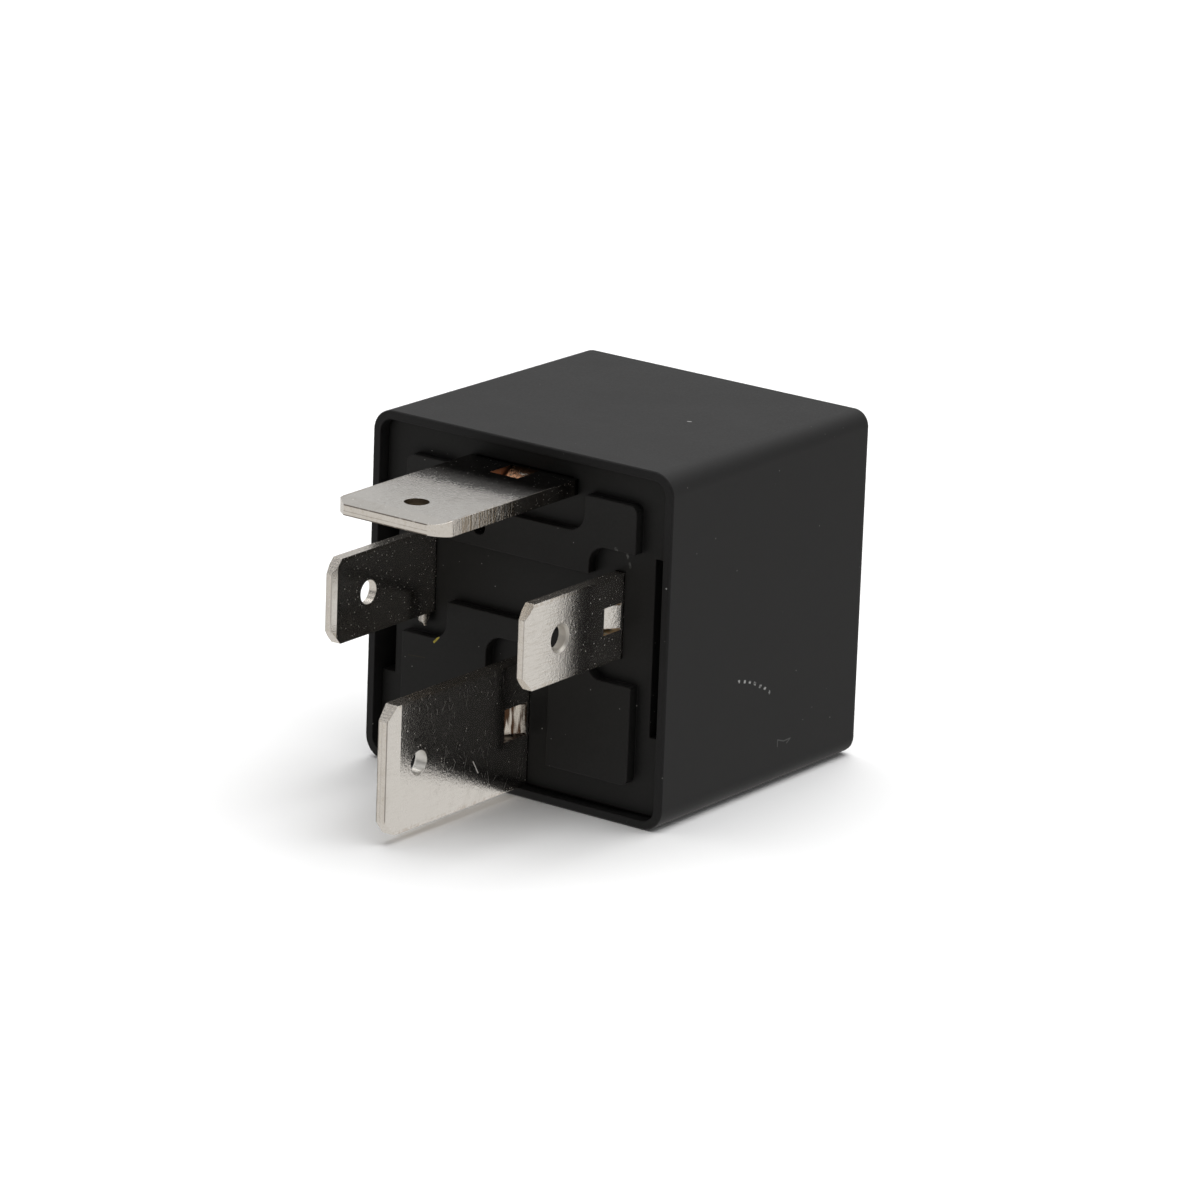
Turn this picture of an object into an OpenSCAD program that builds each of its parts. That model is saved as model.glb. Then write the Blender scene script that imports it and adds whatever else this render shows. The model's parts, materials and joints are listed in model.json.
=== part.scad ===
// Plug-in power relay with four blade terminals, lying on one side of its case.
// X runs across the terminal face, +Y runs from that face into the case, +Z is up.
// Inside, a coil pulls a hinged armature, which closes one pair of contacts.

/* [Case] */
// Width of the case at its open rim
case_w = 26.6; // [26:0.1:30]
// Height of the case at its open rim
case_h = 26.35; // [26:0.05:30]
// Depth of the case from the rim to the closed end
case_d = 24.6; // [24.2:0.1:30]
// Thickness of the side walls at the rim
case_wall = 0.65; // [0.5:0.01:0.66]
// Thickness of the closed end
case_end_wall = 1.0; // [0.8:0.05:1.3]
// How far the right side, the top and the underside lean inwards over the whole depth
case_draft = 0.13; // [0.1:0.01:0.3]
// How far the left side leans inwards over the whole depth
case_draft_left = 0.55; // [0.1:0.05:0.6]
// Radius of the four long edges at the rim
case_corner_r = 1.7; // [1.2:0.1:2.4]
// Radius of the four long edges at the closed end
case_corner_r_end = 1.25; // [1.2:0.05:1.7]
// Radius of the edges round the closed end
case_end_r = 0.5; // [0.3:0.1:1.0]
// Chamfer on the outer edge of the rim
rim_chamfer = 0.1; // [0.05:0.01:0.2]
// Width of the ledge inside the case on which the base plate lands
ledge_w = 0.4; // [0.3:0.05:0.5]

/* [Base plate] */
// Gap between the base plate and the walls
plate_gap = 0.1; // [0.08:0.01:0.2]
// Depth of the base plate's floor below the rim
plate_recess = 0.9; // [0.8:0.05:1.1]
// Thickness of the base plate under its floor
plate_t = 2.15; // [1.9:0.05:2.2]
// Height of the raised lands above the floor
land_rise = 0.85; // [0.5:0.05:0.85]
// Half width of the raised lands
land_half_w = 10.2; // [9.8:0.1:10.8]
// Half height of the raised lands
land_half_h = 10.3; // [9.8:0.1:10.6]
// Radius of the outer corners of the lands
land_corner_r = 0.6; // [0.3:0.1:1.0]
// Radius of the corners of the pockets round the terminals
pocket_r = 1.4; // [1.0:0.1:1.7]
// Clear floor beside a coil terminal, towards the middle
pocket_side_small = 1.75; // [1.5:0.05:2.2]
// Clear floor above and below a coil terminal
pocket_end_small = 1.75; // [1.5:0.05:2.2]
// Clear floor on each side of the vertical contact terminal
pocket_side_large = 2.25; // [1.8:0.05:2.6]
// Clear floor past the end of a contact terminal
pocket_end_large = 1.25; // [1.0:0.05:1.5]
// Clear floor under the horizontal contact terminal
pocket_under_87 = 2.4; // [2.0:0.05:2.6]
// Height of the sunk band that joins the two coil terminals
band_h = 4.7; // [4.0:0.1:5.4]
// Height of that band's middle above the middle of the case
band_rise = 2.3; // [2:0.1:2.6]
// Length of the notch in each side edge of the base plate
notch_l = 13.15; // [11:0.05:14]
// Depth of those notches
notch_depth = 1.15; // [0.9:0.05:1.4]
// Diameter of the small blind hole in the upper land
vent_d = 1.15; // [0.8:0.05:1.4]
// Depth of that hole
vent_depth = 1.6; // [1:0.1:2]
// Distance of that hole to the left of the middle
vent_x = 3.6; // [3:0.1:4.5]
// Distance of that hole above the middle
vent_rise = 6.1; // [5.8:0.1:6.6]
// Clearance round each terminal in its slot
slot_gap = 0.05; // [0.04:0.01:0.1]

/* [Terminals] */
// Width of the two contact terminals
blade_w_large = 9.5; // [9.3:0.05:9.6]
// Thickness of the two contact terminals
blade_t_large = 1.15; // [1:0.05:1.2]
// Width of the two coil terminals
blade_w_small = 6.3; // [6.1:0.05:6.5]
// Thickness of the two coil terminals
blade_t_small = 0.8; // [0.75:0.01:0.85]
// Reach of contact terminal 30 beyond the rim
reach_30 = 15.4; // [13:0.1:17]
// Reach of contact terminal 87 beyond the rim
reach_87 = 15.1; // [13:0.1:17]
// Reach of coil terminal 85 beyond the rim
reach_85 = 10.6; // [9.5:0.1:12]
// Reach of coil terminal 86 beyond the rim
reach_86 = 11.0; // [9.5:0.1:12]
// Distance between the two coil terminals
coil_pitch = 16.7; // [16.3:0.1:17.2]
// Height of the coil terminals above the middle of the case
rise_coil_terminals = 1.9; // [1.5:0.05:2.2]
// Distance from the underside of the case to terminal 30
margin_30 = 0.72; // [0.7:0.02:0.9]
// Sideways place of terminal 30
offset_30 = 0.2; // [-0.3:0.05:0.4]
// Distance from the top of the case to terminal 87
margin_87 = 2.1; // [1.9:0.05:2.2]
// Sideways place of terminal 87
offset_87 = -0.3; // [-0.4:0.05:0.4]
// Diameter of the detent hole in each terminal
detent_d = 1.8; // [1.6:0.05:2.1]
// Chamfer round each detent hole, on the face it was punched from
detent_chamfer = 0.18; // [0.05:0.01:0.2]
// Distance from a contact terminal's tip to its detent hole
detent_from_tip_large = 3.5; // [3:0.1:4.5]
// Distance from a coil terminal's tip to its detent hole
detent_from_tip_small = 4.05; // [3.2:0.05:4.5]
// Cut at each corner of a tip, along the tip
tip_cut_w = 1.05; // [0.8:0.05:1.3]
// Cut at each corner of a tip, along the side
tip_cut_l = 0.95; // [0.7:0.05:1.3]
// Radius of the one rounded corner at the tip of terminal 87
tip_round_87 = 1.5; // [1.1:0.1:2]
// Length of the bevel at a contact terminal's tip
bevel_l_large = 1.35; // [0.8:0.05:1.6]
// Depth of that bevel in each face
bevel_t_large = 0.18; // [0.1:0.01:0.3]
// Length of the bevel at a coil terminal's tip
bevel_l_small = 0.5; // [0.3:0.05:1]
// Depth of that bevel in each face
bevel_t_small = 0.15; // [0.1:0.01:0.25]
// Length of the lanced window near the root of a contact terminal
window_l_large = 2.6; // [2:0.1:3]
// Width of that window
window_w_large = 2.45; // [2:0.05:3]
// Length of the lanced window near the root of a coil terminal
window_l_small = 2.0; // [1.6:0.1:2.2]
// Width of that window
window_w_small = 2.0; // [1.6:0.1:2.4]
// Distance from the rim back to the root end of each window
window_root = 0.6; // [0.4:0.05:0.7]
// Sideways place of a contact terminal's window on its blade
window_shift = 0.3; // [-0.4:0.05:0.4]
// Angle to which each lanced tang is bent back
tang_angle = 30; // [10:1:35]
// Gap between a lanced tang and its window
tang_gap = 0.15; // [0.1:0.01:0.2]
// Height of the ear under terminal 86
ear_86_h = 1.0; // [0.8:0.05:1.05]
// Length of that ear
ear_86_l = 0.6; // [0.5:0.05:1.2]
// Distance from the base plate's floor to that ear
ear_86_gap = 0.25; // [0.25:0.05:0.6]
// Angle to which that ear is bent back
ear_86_angle = 26; // [8:1:30]

/* [Magnet] */
// Distance from the underside of the case to the yoke
yoke_margin = 3.6; // [3.5:0.1:3.8]
// Distance from the bobbin's flanges to the coil terminals
flange_margin = 1.15; // [1.1:0.05:1.3]
// How far the flanges stand out past the winding
winding_margin = 1.2; // [1:0.1:1.5]
// Thickness of the bobbin flanges
flange_t = 0.8; // [0.6:0.05:1]
// Length of the bobbin
bobbin_l = 10.6; // [10.4:0.1:10.7]
// Radius of the iron core
core_r = 3.2; // [2.8:0.1:3.4]
// Thickness of the bobbin's tube
bobbin_tube_t = 0.6; // [0.5:0.05:0.8]
// Diameter of the enamelled wire
wire_d = 0.3; // [0.2:0.02:0.34]
// Thickness of the tape round the winding
tape_t = 0.12; // [0.08:0.01:0.2]
// Thickness of the pole disc
pole_t = 0.95; // [0.8:0.05:1.1]
// Radius of the core's riveted end in the yoke
core_stake_r = 2.4; // [2:0.1:2.6]
// Thickness of the yoke
yoke_t = 1.6; // [1.4:0.05:1.65]
// Width of the yoke
yoke_w = 13; // [12.6:0.1:13.4]
// Length of the yoke's foot past the coil's axis
foot_past_axis = 4.2; // [3.5:0.1:5]
// Width of each ear at the yoke's hinge edge
ear_w = 1.3; // [1:0.1:1.6]
// Height of those ears
ear_h = 1.2; // [0.8:0.1:1.4]

/* [Armature and contacts] */
// Angle from the open contacts to the closed contacts
open_angle = 3; // [2:0.1:3.2]
// Thickness of the armature
armature_t = 1.5; // [1.2:0.05:1.6]
// Width of the armature
armature_w = 12; // [11.5:0.1:12.6]
// Air left between the closed armature and the pole
residual_gap = 0.05; // [0.03:0.01:0.1]
// Thickness of the contact spring
spring_t = 0.3; // [0.2:0.02:0.34]
// Width of the contact spring
spring_w = 7; // [6:0.1:7.6]
// Width of the contact spring at its free end
spring_tip_w = 4.4; // [4:0.1:5]
// Inner radius of the spring's bend at the hinge
spring_bend_r = 1.1; // [1.05:0.05:1.15]
// Length of the spring's leg along the yoke
spring_leg_l = 9; // [7:0.1:10]
// Distance from the end of the spring's leg to its rivets
spring_rivet_edge = 3.2; // [2:0.1:3.6]
// Radius of the contact heads
contact_r = 1.5; // [1.2:0.05:1.6]
// Thickness of the moving contact's head
contact_head_t = 1.05; // [0.9:0.05:1.1]
// Radius of the contact shanks
contact_shank_r = 0.8; // [0.6:0.05:0.9]
// Thickness of the riveted heads behind the contacts
contact_back_t = 0.35; // [0.25:0.05:0.5]
// Air left between the contacts at the end of the travel
contact_touch_gap = 0.04; // [0.03:0.01:0.08]
// Radius of the small rivets' shanks
rivet_r = 0.7; // [0.5:0.05:0.8]
// Radius of the small rivets' heads
rivet_head_r = 1.15; // [1:0.05:1.2]
// Thickness of the small rivets' heads
rivet_head_t = 0.4; // [0.3:0.05:0.45]
// Spacing of each pair of small rivets
rivet_pitch = 4; // [3.6:0.1:4.2]
// Thickness of the bracket that stops the open armature
stop_t = 0.6; // [0.5:0.05:0.65]
// Height of that bracket
stop_w = 3; // [2.4:0.1:3.4]
// Distance of that bracket above the coil's axis
stop_rise = 3.8; // [3.2:0.1:4]
// Length of the bracket beside the bobbin
stop_leg_l = 2.6; // [2:0.1:3]
// How far the bracket laps over the armature
stop_lap = 1.9; // [1.4:0.1:2.2]

/* [Wiring] */
// Radius of the flexible copper braid
braid_r = 0.7; // [0.5:0.05:0.75]
// Diameter of the suppression resistor
resistor_d = 2.4; // [2:0.1:2.6]
// Length of the suppression resistor
resistor_l = 6.4; // [5.5:0.1:7]
// Diameter of the resistor's leads
resistor_lead_d = 0.5; // [0.4:0.02:0.56]
// Width of the tags to which the coil's wires are wound
tag_w = 2; // [1.6:0.1:2.2]
// Length of those tags past the base plate
tag_l = 5.6; // [5:0.1:6]

/* [Hidden] */
$fn = 64;
e = 0.01;          // overlap that keeps neighbouring cuts clean
fit = 0.05;        // clearance between fixed pieces that touch

// Middle of the case, and the height line of each terminal
mid_z = case_h / 2;
z_30 = margin_30 + blade_w_large / 2;
z_87 = case_h - margin_87 - blade_t_large / 2;
z_coil_terminals = mid_z + rise_coil_terminals;
x_coil_terminals = coil_pitch / 2;

// Depths from the rim plane, which is Y = 0
y_floor = plate_recess;
y_inside = plate_recess + plate_t;
y_flange = y_inside + fit;
y_foot = y_flange + blade_t_large + fit;
y_bobbin = y_foot + yoke_t + fit;
y_pole_disc = y_bobbin + bobbin_l + fit;
y_pole = y_pole_disc + pole_t;
y_armature = y_pole + residual_gap;
y_armature_top = y_armature + armature_t;

// The whole part is centred on the middle of its own length
y_middle = (case_d - max(reach_30, reach_87)) / 2;

// Heights of the contacts, below terminal 87, and of the armature's end below them
contact_z = z_87 - blade_t_large / 2 - 0.3 - contact_r;
seat_low = contact_z - contact_r - 0.25;
armature_end_z = contact_z - contact_r - 0.55;

// The magnet fills the height between the yoke and the armature's end
air = 0.1;         // air between neighbouring pieces that must not touch
z_yoke_out = yoke_margin;
z_yoke_in = z_yoke_out + yoke_t;
flange_half_h = (armature_end_z - 3 * air - z_yoke_in - 2 * air) / 2;
flange_half_w = x_coil_terminals - blade_t_small / 2 - flange_margin;
coil_z = z_yoke_in + 2 * air + flange_half_h;
armature_rivet_z = z_yoke_in + rivet_head_r + air;
pole_r = coil_z - armature_rivet_z - rivet_head_r - air;
winding_r = min(flange_half_w, flange_half_h) - winding_margin;
winding_depth = winding_r - core_r - air - bobbin_tube_t;

// Hinge line, where the armature's heel stands on the end of the yoke
bend_y = y_armature_top + fit - spring_bend_r;
bend_z = z_yoke_out - fit + spring_bend_r;
hinge_y = y_armature;
hinge_z = bend_z;

// Depths of the contacts
spring_face = bend_y + spring_bend_r;
seat_face = spring_face - 2 * contact_head_t - contact_touch_gap;

// Place of the rivets through the spring's leg
yoke_rivet_y = y_pole - spring_leg_l + spring_rivet_edge;

// ---------- shared shapes ----------

// Moves a piece from the rim's frame to the frame of the whole part
module place() {
    translate([0, -y_middle, 0]) children();
}

// Extrudes an outline drawn in (Y, Z) across X
module across(width, x = 0) {
    translate([x - width / 2, 0, 0]) rotate([90, 0, 90]) linear_extrude(width) children();
}

// Extrudes an outline drawn in (X, Z) from depth y0 to depth y1
module through(y0, y1) {
    translate([0, y1, 0]) rotate([90, 0, 0]) linear_extrude(y1 - y0) children();
}

// Cylinder along Y
module rod_y(r, y0, y1, x, z) {
    translate([x, y1, z]) rotate([90, 0, 0]) cylinder(r = r, h = y1 - y0);
}

// Rectangle with round corners, made without offsets so that its corners stay true arcs
module round_rect(x0, z0, x1, z1, r) {
    translate([x0 + r, z0]) square([x1 - x0 - 2 * r, z1 - z0]);
    translate([x0, z0 + r]) square([x1 - x0, z1 - z0 - 2 * r]);
    for (x = [x0 + r, x1 - r], z = [z0 + r, z1 - r]) translate([x, z]) circle(r = r);
}

// Turns the moving pieces from closed, as they are drawn, to open
module swing_open() {
    translate([0, hinge_y, hinge_z]) rotate([-open_angle, 0, 0])
        translate([0, -hinge_y, -hinge_z]) children();
}

// Tube swept along a list of points, with a level ring at each point
function unit(v) = v / norm(v);
function tangent(p, i) = unit(p[min(i + 1, len(p) - 1)] - p[max(i - 1, 0)]);
function ring_side(t) = unit(cross(t, abs(t.z) > 0.9 ? [1, 0, 0] : [0, 0, 1]));
function ring(p, t, u, r, sides) = [for (k = [0:sides - 1])
    let (a = 360 * k / sides) p + r * (cos(a) * u + sin(a) * cross(t, u))];
// Carries the ring's direction along the path so that the tube never twists
function frames(p, i = 0, u = undef) = let (t = tangent(p, i),
    w = u == undef ? ring_side(t) : unit(u - (u * t) * t))
    i == len(p) - 1 ? [[t, w]] : concat([[t, w]], frames(p, i + 1, w));
module tube(p, r, sides) {
    f = frames(p);
    n = len(p);
    points = [for (i = [0:n - 1]) each ring(p[i], f[i][0], f[i][1], r, sides)];
    start_cap = [for (k = [0:sides - 1]) k];
    end_cap = [for (k = [sides - 1:-1:0]) (n - 1) * sides + k];
    sides_faces = [for (i = [0:n - 2], k = [0:sides - 1]) let (m = (k + 1) % sides)
        [i * sides + k, (i + 1) * sides + k, (i + 1) * sides + m, i * sides + m]];
    polyhedron(points, concat([start_cap], sides_faces, [end_cap]));
}
// Smooth path through the given points
function spline_at(a, b, c, d, s) = 0.5 * (2 * b + (c - a) * s
    + (2 * a - 5 * b + 4 * c - d) * s * s + (3 * b - a - 3 * c + d) * s * s * s);
function smooth(p, steps) = [for (i = [0:len(p) - 2], s = [0:steps - 1])
    spline_at(p[max(i - 1, 0)], p[i], p[i + 1], p[min(i + 2, len(p) - 1)], s / steps),
    p[len(p) - 1]];

// ---------- case ----------

// Thin disc of radius r at each corner of the case at depth y, drawn in by inset, and by more on the left
module case_corners(y, r, inset, more_left = 0) {
    half_w = case_w / 2 - inset - r;
    for (x = [more_left - half_w, half_w], z = [-1, 1])
        translate([x, y, mid_z + z * (case_h / 2 - inset - r)]) rotate([-90, 0, 0]) cylinder(r = r, h = e);
}

module case_outside() {
    edge_y = case_d - case_end_r;
    lean = case_draft * edge_y / case_d;
    lean_left = case_draft_left * edge_y / case_d;
    hull() {
        case_corners(0, case_corner_r - rim_chamfer, rim_chamfer);
        case_corners(rim_chamfer, case_corner_r, 0);
        for (a = [0:18:90]) {
            in = case_end_r * (1 - cos(a));
            case_corners(edge_y + case_end_r * sin(a) - e, case_corner_r_end - in, lean + in,
                lean_left - lean);
        }
    }
}

// Straight-sided hollow with its corners rounded, inset from the outside by wall
module case_hollow(wall, y0, y1) {
    through(y0, y1) round_rect(-case_w / 2 + wall, wall, case_w / 2 - wall, case_h - wall,
        case_corner_r - case_wall);
}

module housing_cover() {
    color("#3a3a3c") difference() {
        case_outside();
        case_hollow(case_wall, -1, y_inside);
        case_hollow(case_wall + ledge_w, y_inside - e, case_d - case_end_wall);
    }
}

// ---------- base plate ----------

plate_inset = case_wall + plate_gap;
plate_x = case_w / 2 - plate_inset;

// Raised lands, cut away round every terminal
module lands() {
    inner_x = x_coil_terminals - blade_t_small / 2 - pocket_side_small;
    pocket_z = blade_w_small / 2 + pocket_end_small;
    half_w = blade_w_large / 2;
    half_t = blade_t_large / 2;
    difference() {
        round_rect(-land_half_w, mid_z - land_half_h, land_half_w, mid_z + land_half_h, land_corner_r);
        for (s = [0, 1]) mirror([s, 0]) round_rect(inner_x, z_coil_terminals - pocket_z,
            case_w, z_coil_terminals + pocket_z, pocket_r);
        translate([-inner_x - 1, mid_z + band_rise - band_h / 2])
            square([2 * inner_x + 2, band_h]);
        round_rect(offset_87 - half_w - pocket_end_large, z_87 - half_t - pocket_under_87,
            offset_87 + half_w + pocket_end_large, case_h, pocket_r);
        round_rect(offset_30 - half_t - pocket_side_large, -1,
            offset_30 + half_t + pocket_side_large, z_30 + half_w + pocket_end_large, pocket_r);
    }
}

// Slot for one terminal, as wide and as thick as its neck
module slot(w, t, x, z) {
    translate([x - w / 2 - slot_gap, -1, z - t / 2 - slot_gap])
        cube([w + 2 * slot_gap, y_inside + 2, t + 2 * slot_gap]);
}

module base_plate() {
    y_top = y_floor - land_rise;
    color("#39393a") difference() {
        union() {
            through(y_floor, y_inside - fit)
                round_rect(-plate_x, plate_inset, plate_x, case_h - plate_inset, case_corner_r - plate_inset);
            through(y_top, y_floor + e) lands();
        }
        for (s = [-1, 1])
            translate([s * (plate_x - notch_depth / 2 + 1), y_floor + plate_t / 2, mid_z])
                cube([notch_depth + 2, plate_t + 2, notch_l], center = true);
        slot(neck_w_large, blade_t_large, offset_87, z_87);
        slot(blade_t_large, neck_w_large, offset_30, z_30);
        for (s = [-1, 1]) slot(blade_t_small, blade_w_small, s * x_coil_terminals, z_coil_terminals);
        rod_y(vent_d / 2, y_top - 1, y_top + vent_depth, -vent_x, mid_z + vent_rise);
    }
}

// ---------- terminals ----------

neck_w_large = blade_w_large - 1;

// Blade drawn with its length along Y, its width along X and its thickness along Z
// punch is the face the detent hole was punched from: 0 for +Z, 1 for -Z
// round_r rounds the corner on the +X side of the tip, and 0 leaves it cut like the other one
module blade(w, t, reach, neck_w, bevel_l, bevel_t, hole_from_tip, punch, round_r = 0) {
    hole_y = -reach + hole_from_tip;
    shoulder = y_floor - fit;
    cut_w = round_r > 0 ? round_r : tip_cut_w;
    cut_l = round_r > 0 ? round_r : tip_cut_l;
    difference() {
        intersection() {
            translate([0, 0, -t]) linear_extrude(2 * t) {
                polygon([[-w / 2, shoulder], [-w / 2, -reach + tip_cut_l], [-w / 2 + tip_cut_w, -reach],
                    [w / 2 - cut_w, -reach], [w / 2, -reach + cut_l], [w / 2, shoulder],
                    [neck_w / 2, shoulder], [neck_w / 2, y_inside], [-neck_w / 2, y_inside],
                    [-neck_w / 2, shoulder]]);
                if (round_r > 0) translate([w / 2 - round_r, -reach + round_r]) circle(r = round_r);
            }
            across(2 * w) polygon([
                [y_inside + 1, t / 2], [-reach + bevel_l, t / 2], [-reach, t / 2 - bevel_t],
                [-reach, -t / 2 + bevel_t], [-reach + bevel_l, -t / 2], [y_inside + 1, -t / 2]]);
        }
        translate([0, hole_y, -t]) cylinder(d = detent_d, h = 2 * t);
        mirror([0, 0, punch]) translate([0, hole_y, t / 2 - detent_chamfer])
            cylinder(d1 = detent_d, d2 = detent_d + 4 * detent_chamfer, h = 2 * detent_chamfer);
    }
}

// Cuts a window near the root of a blade and bends the tang from it, folded at the root
module lanced(t, window_l, window_w, shift) {
    tang_l = window_l - tang_gap;
    free = [-tang_l * cos(tang_angle), -tang_l * sin(tang_angle)];
    fold = t * tan(tang_angle / 2);
    difference() {
        children();
        translate([shift - window_w / 2, window_root - window_l, -t]) cube([window_w, window_l, 2 * t]);
    }
    translate([0, window_root, t / 2]) across(window_w - 2 * tang_gap, shift) polygon([
        [fold, 0], [0, 0], free, free + t * [sin(tang_angle), -cos(tang_angle)], [fold, -t]]);
}

module blade_large(reach, punch, round_r = 0) {
    lanced(blade_t_large, window_l_large, window_w_large, window_shift)
        blade(blade_w_large, blade_t_large, reach, neck_w_large, bevel_l_large, bevel_t_large,
            detent_from_tip_large, punch, round_r);
}

module blade_small(reach, punch) {
    blade(blade_w_small, blade_t_small, reach, blade_w_small, bevel_l_small, bevel_t_small,
        detent_from_tip_small, punch);
}

// Contact terminal joined to the yoke: its inner flange lies under the yoke's foot
flange_30_low = z_yoke_out + 0.2;
flange_30_high = z_30 + 3.6;
flange_30_right = yoke_w / 2 - 0.2;
braid_tab_x = yoke_w / 2 + 3.2;
braid_tab_low = flange_30_low + 0.4;
braid_tab_high = braid_tab_low + 2.8;
terminal_rivet_x = 4.6;

module terminal_30() {
    color("#d9d6d0") difference() {
        union() {
            translate([offset_30, 0, z_30]) rotate([0, -90, 180]) mirror([0, 1, 0]) blade_large(reach_30, 1);
            translate([offset_30 - blade_t_large / 2, y_inside - 1, flange_30_low])
                cube([blade_t_large, 1 + fit + blade_t_large, flange_30_high - flange_30_low]);
            translate([offset_30 - blade_t_large / 2, y_flange, flange_30_low])
                cube([flange_30_right - offset_30 + blade_t_large / 2, blade_t_large,
                    flange_30_high - flange_30_low]);
            translate([flange_30_right - e, y_flange, braid_tab_low])
                cube([braid_tab_x - flange_30_right, blade_t_large, braid_tab_high - braid_tab_low]);
        }
        for (z = terminal_rivet_heights) rod_y(rivet_r + fit, y_flange - 1, y_foot + 1, terminal_rivet_x, z);
    }
}

terminal_rivet_heights = [flange_30_low + 1.3, flange_30_high - 1.3];

// Contact terminal that carries the fixed contact on a seat bent down at its inner end
strip_87_w = 7;
module terminal_87() {
    color("#d9d6d0") difference() {
        union() {
            translate([offset_87, 0, z_87]) blade_large(reach_87, 1, tip_round_87);
            translate([offset_87 - strip_87_w / 2, y_inside - 1, z_87 - blade_t_large / 2])
                cube([strip_87_w, seat_face - y_inside + 1, blade_t_large]);
            translate([offset_87 - strip_87_w / 2, seat_face - blade_t_large, seat_low])
                cube([strip_87_w, blade_t_large, z_87 + blade_t_large / 2 - seat_low]);
        }
        rod_y(contact_shank_r + fit, seat_face - 2 * blade_t_large, seat_face + 1, 0, contact_z);
    }
}

// Stands a blade on edge at a coil terminal's place and adds the tag inside for the coil's wire
module coil_terminal(side) {
    translate([side * x_coil_terminals, 0, z_coil_terminals])
        rotate([0, -90, 180]) mirror([0, 1, 0]) children();
    translate([side * x_coil_terminals - blade_t_small / 2, y_inside - e, z_coil_terminals - tag_w / 2])
        cube([blade_t_small, tag_l, tag_w]);
}

module terminal_85() {
    color("#d9d6d0") coil_terminal(1) lanced(blade_t_small, window_l_small, window_w_small, 0)
        blade_small(reach_85, 0);
}

module terminal_86() {
    slant = ear_86_l / 2;
    nick = ear_86_l / 5;
    color("#d9d6d0") {
        coil_terminal(-1) blade_small(reach_86, 1);
        translate([-x_coil_terminals, y_floor - ear_86_gap, z_coil_terminals - blade_w_small / 2])
            rotate([0, 0, -ear_86_angle]) across(blade_t_small) polygon([[0, ear_86_h / 2], [0, 0],
                [-slant, -ear_86_h], [nick - ear_86_l, -ear_86_h], [-ear_86_l, 2 * nick - ear_86_h],
                [-ear_86_l, ear_86_h / 2]]);
    }
}

// ---------- magnet ----------

module coil_bobbin() {
    bore = core_r + air;
    color("#e8e4d8") difference() {
        union() {
            rod_y(bore + bobbin_tube_t, y_bobbin, y_bobbin + bobbin_l, 0, coil_z);
            for (y = [y_bobbin, y_bobbin + bobbin_l - flange_t])
                through(y, y + flange_t) round_rect(-flange_half_w, coil_z - flange_half_h, flange_half_w,
                    coil_z + flange_half_h, 0.8);
            // Ear that holds the stop bracket
            translate([flange_half_w - 1, y_bobbin + bobbin_l - flange_t, stop_z - stop_w / 2 - stop_t])
                cube([stop_x + 2 * stop_t - flange_half_w + 1, flange_t, stop_w + 2 * stop_t]);
        }
        rod_y(bore, y_bobbin - 1, y_bobbin + bobbin_l + 1, 0, coil_z);
        translate([stop_x - fit, y_bobbin, stop_z - stop_w / 2 - fit])
            cube([stop_t + 2 * fit, bobbin_l + 1, stop_w + 2 * fit]);
    }
}

// Turns lie side by side, so the winding's surface is a row of round ridges
module coil_winding() {
    y0 = y_bobbin + flange_t + fit;
    y1 = y_bobbin + bobbin_l - flange_t - fit;
    turns = floor((y1 - y0) / wire_d);
    pitch = (y1 - y0) / turns;
    color("#b5602c") translate([0, y0, coil_z]) rotate([-90, 0, 0]) rotate_extrude() {
        translate([core_r + air + bobbin_tube_t + fit, 0])
            square([winding_depth - fit - wire_d / 2, y1 - y0]);
        for (i = [0:turns - 1]) translate([winding_r - wire_d / 2, (i + 0.5) * pitch])
            circle(d = wire_d - 0.01, $fn = 16);
    }
}

module winding_tape() {
    margin = 1.2;
    y0 = y_bobbin + flange_t + margin;
    y1 = y_bobbin + bobbin_l - flange_t - margin;
    color("#c9b458") translate([0, y0, coil_z]) rotate([-90, 0, 0]) difference() {
        cylinder(r = winding_r + 0.02 + tape_t, h = y1 - y0);
        translate([0, 0, -1]) cylinder(r = winding_r + 0.02, h = y1 - y0 + 2);
    }
}

module magnet_core() {
    color("#a9abad") {
        rod_y(core_stake_r, y_foot, y_bobbin + e, 0, coil_z);
        rod_y(core_r, y_bobbin - fit, y_pole, 0, coil_z);
        rod_y(pole_r, y_pole_disc, y_pole, 0, coil_z);
    }
}

module yoke() {
    relief = 0.35;
    color("#b4b6b8") difference() {
        union() {
            translate([-yoke_w / 2, y_foot, z_yoke_out])
                cube([yoke_w, yoke_t, coil_z + foot_past_axis - z_yoke_out]);
            translate([-yoke_w / 2, y_foot, z_yoke_out]) cube([yoke_w, y_pole - y_foot, yoke_t]);
            for (x = [-yoke_w / 2, yoke_w / 2 - ear_w])
                translate([x, y_pole - e, z_yoke_out]) cube([ear_w, ear_h, yoke_t]);
        }
        rod_y(core_stake_r + 0.02, y_foot - 1, y_foot + yoke_t + 1, 0, coil_z);
        for (z = terminal_rivet_heights)
            rod_y(rivet_r + fit, y_foot - 1, y_foot + yoke_t + 1, terminal_rivet_x, z);
        for (x = [-1, 1]) translate([x * rivet_pitch / 2, yoke_rivet_y, z_yoke_out - 1])
            cylinder(r = rivet_r + fit, h = yoke_t + 2);
        // Relieved outer corner under the spring's bend
        across(yoke_w - 2 * ear_w) polygon([[y_pole - relief, z_yoke_out - 1], [y_pole - relief, z_yoke_out],
            [y_pole, z_yoke_out + relief], [y_pole + 1, z_yoke_out + relief], [y_pole + 1, z_yoke_out - 1]]);
    }
}

module terminal_rivets() {
    color("#c8c9ca") for (z = terminal_rivet_heights)
        rod_y(rivet_r, y_flange, y_foot + yoke_t, terminal_rivet_x, z);
}

// ---------- contacts ----------

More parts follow.
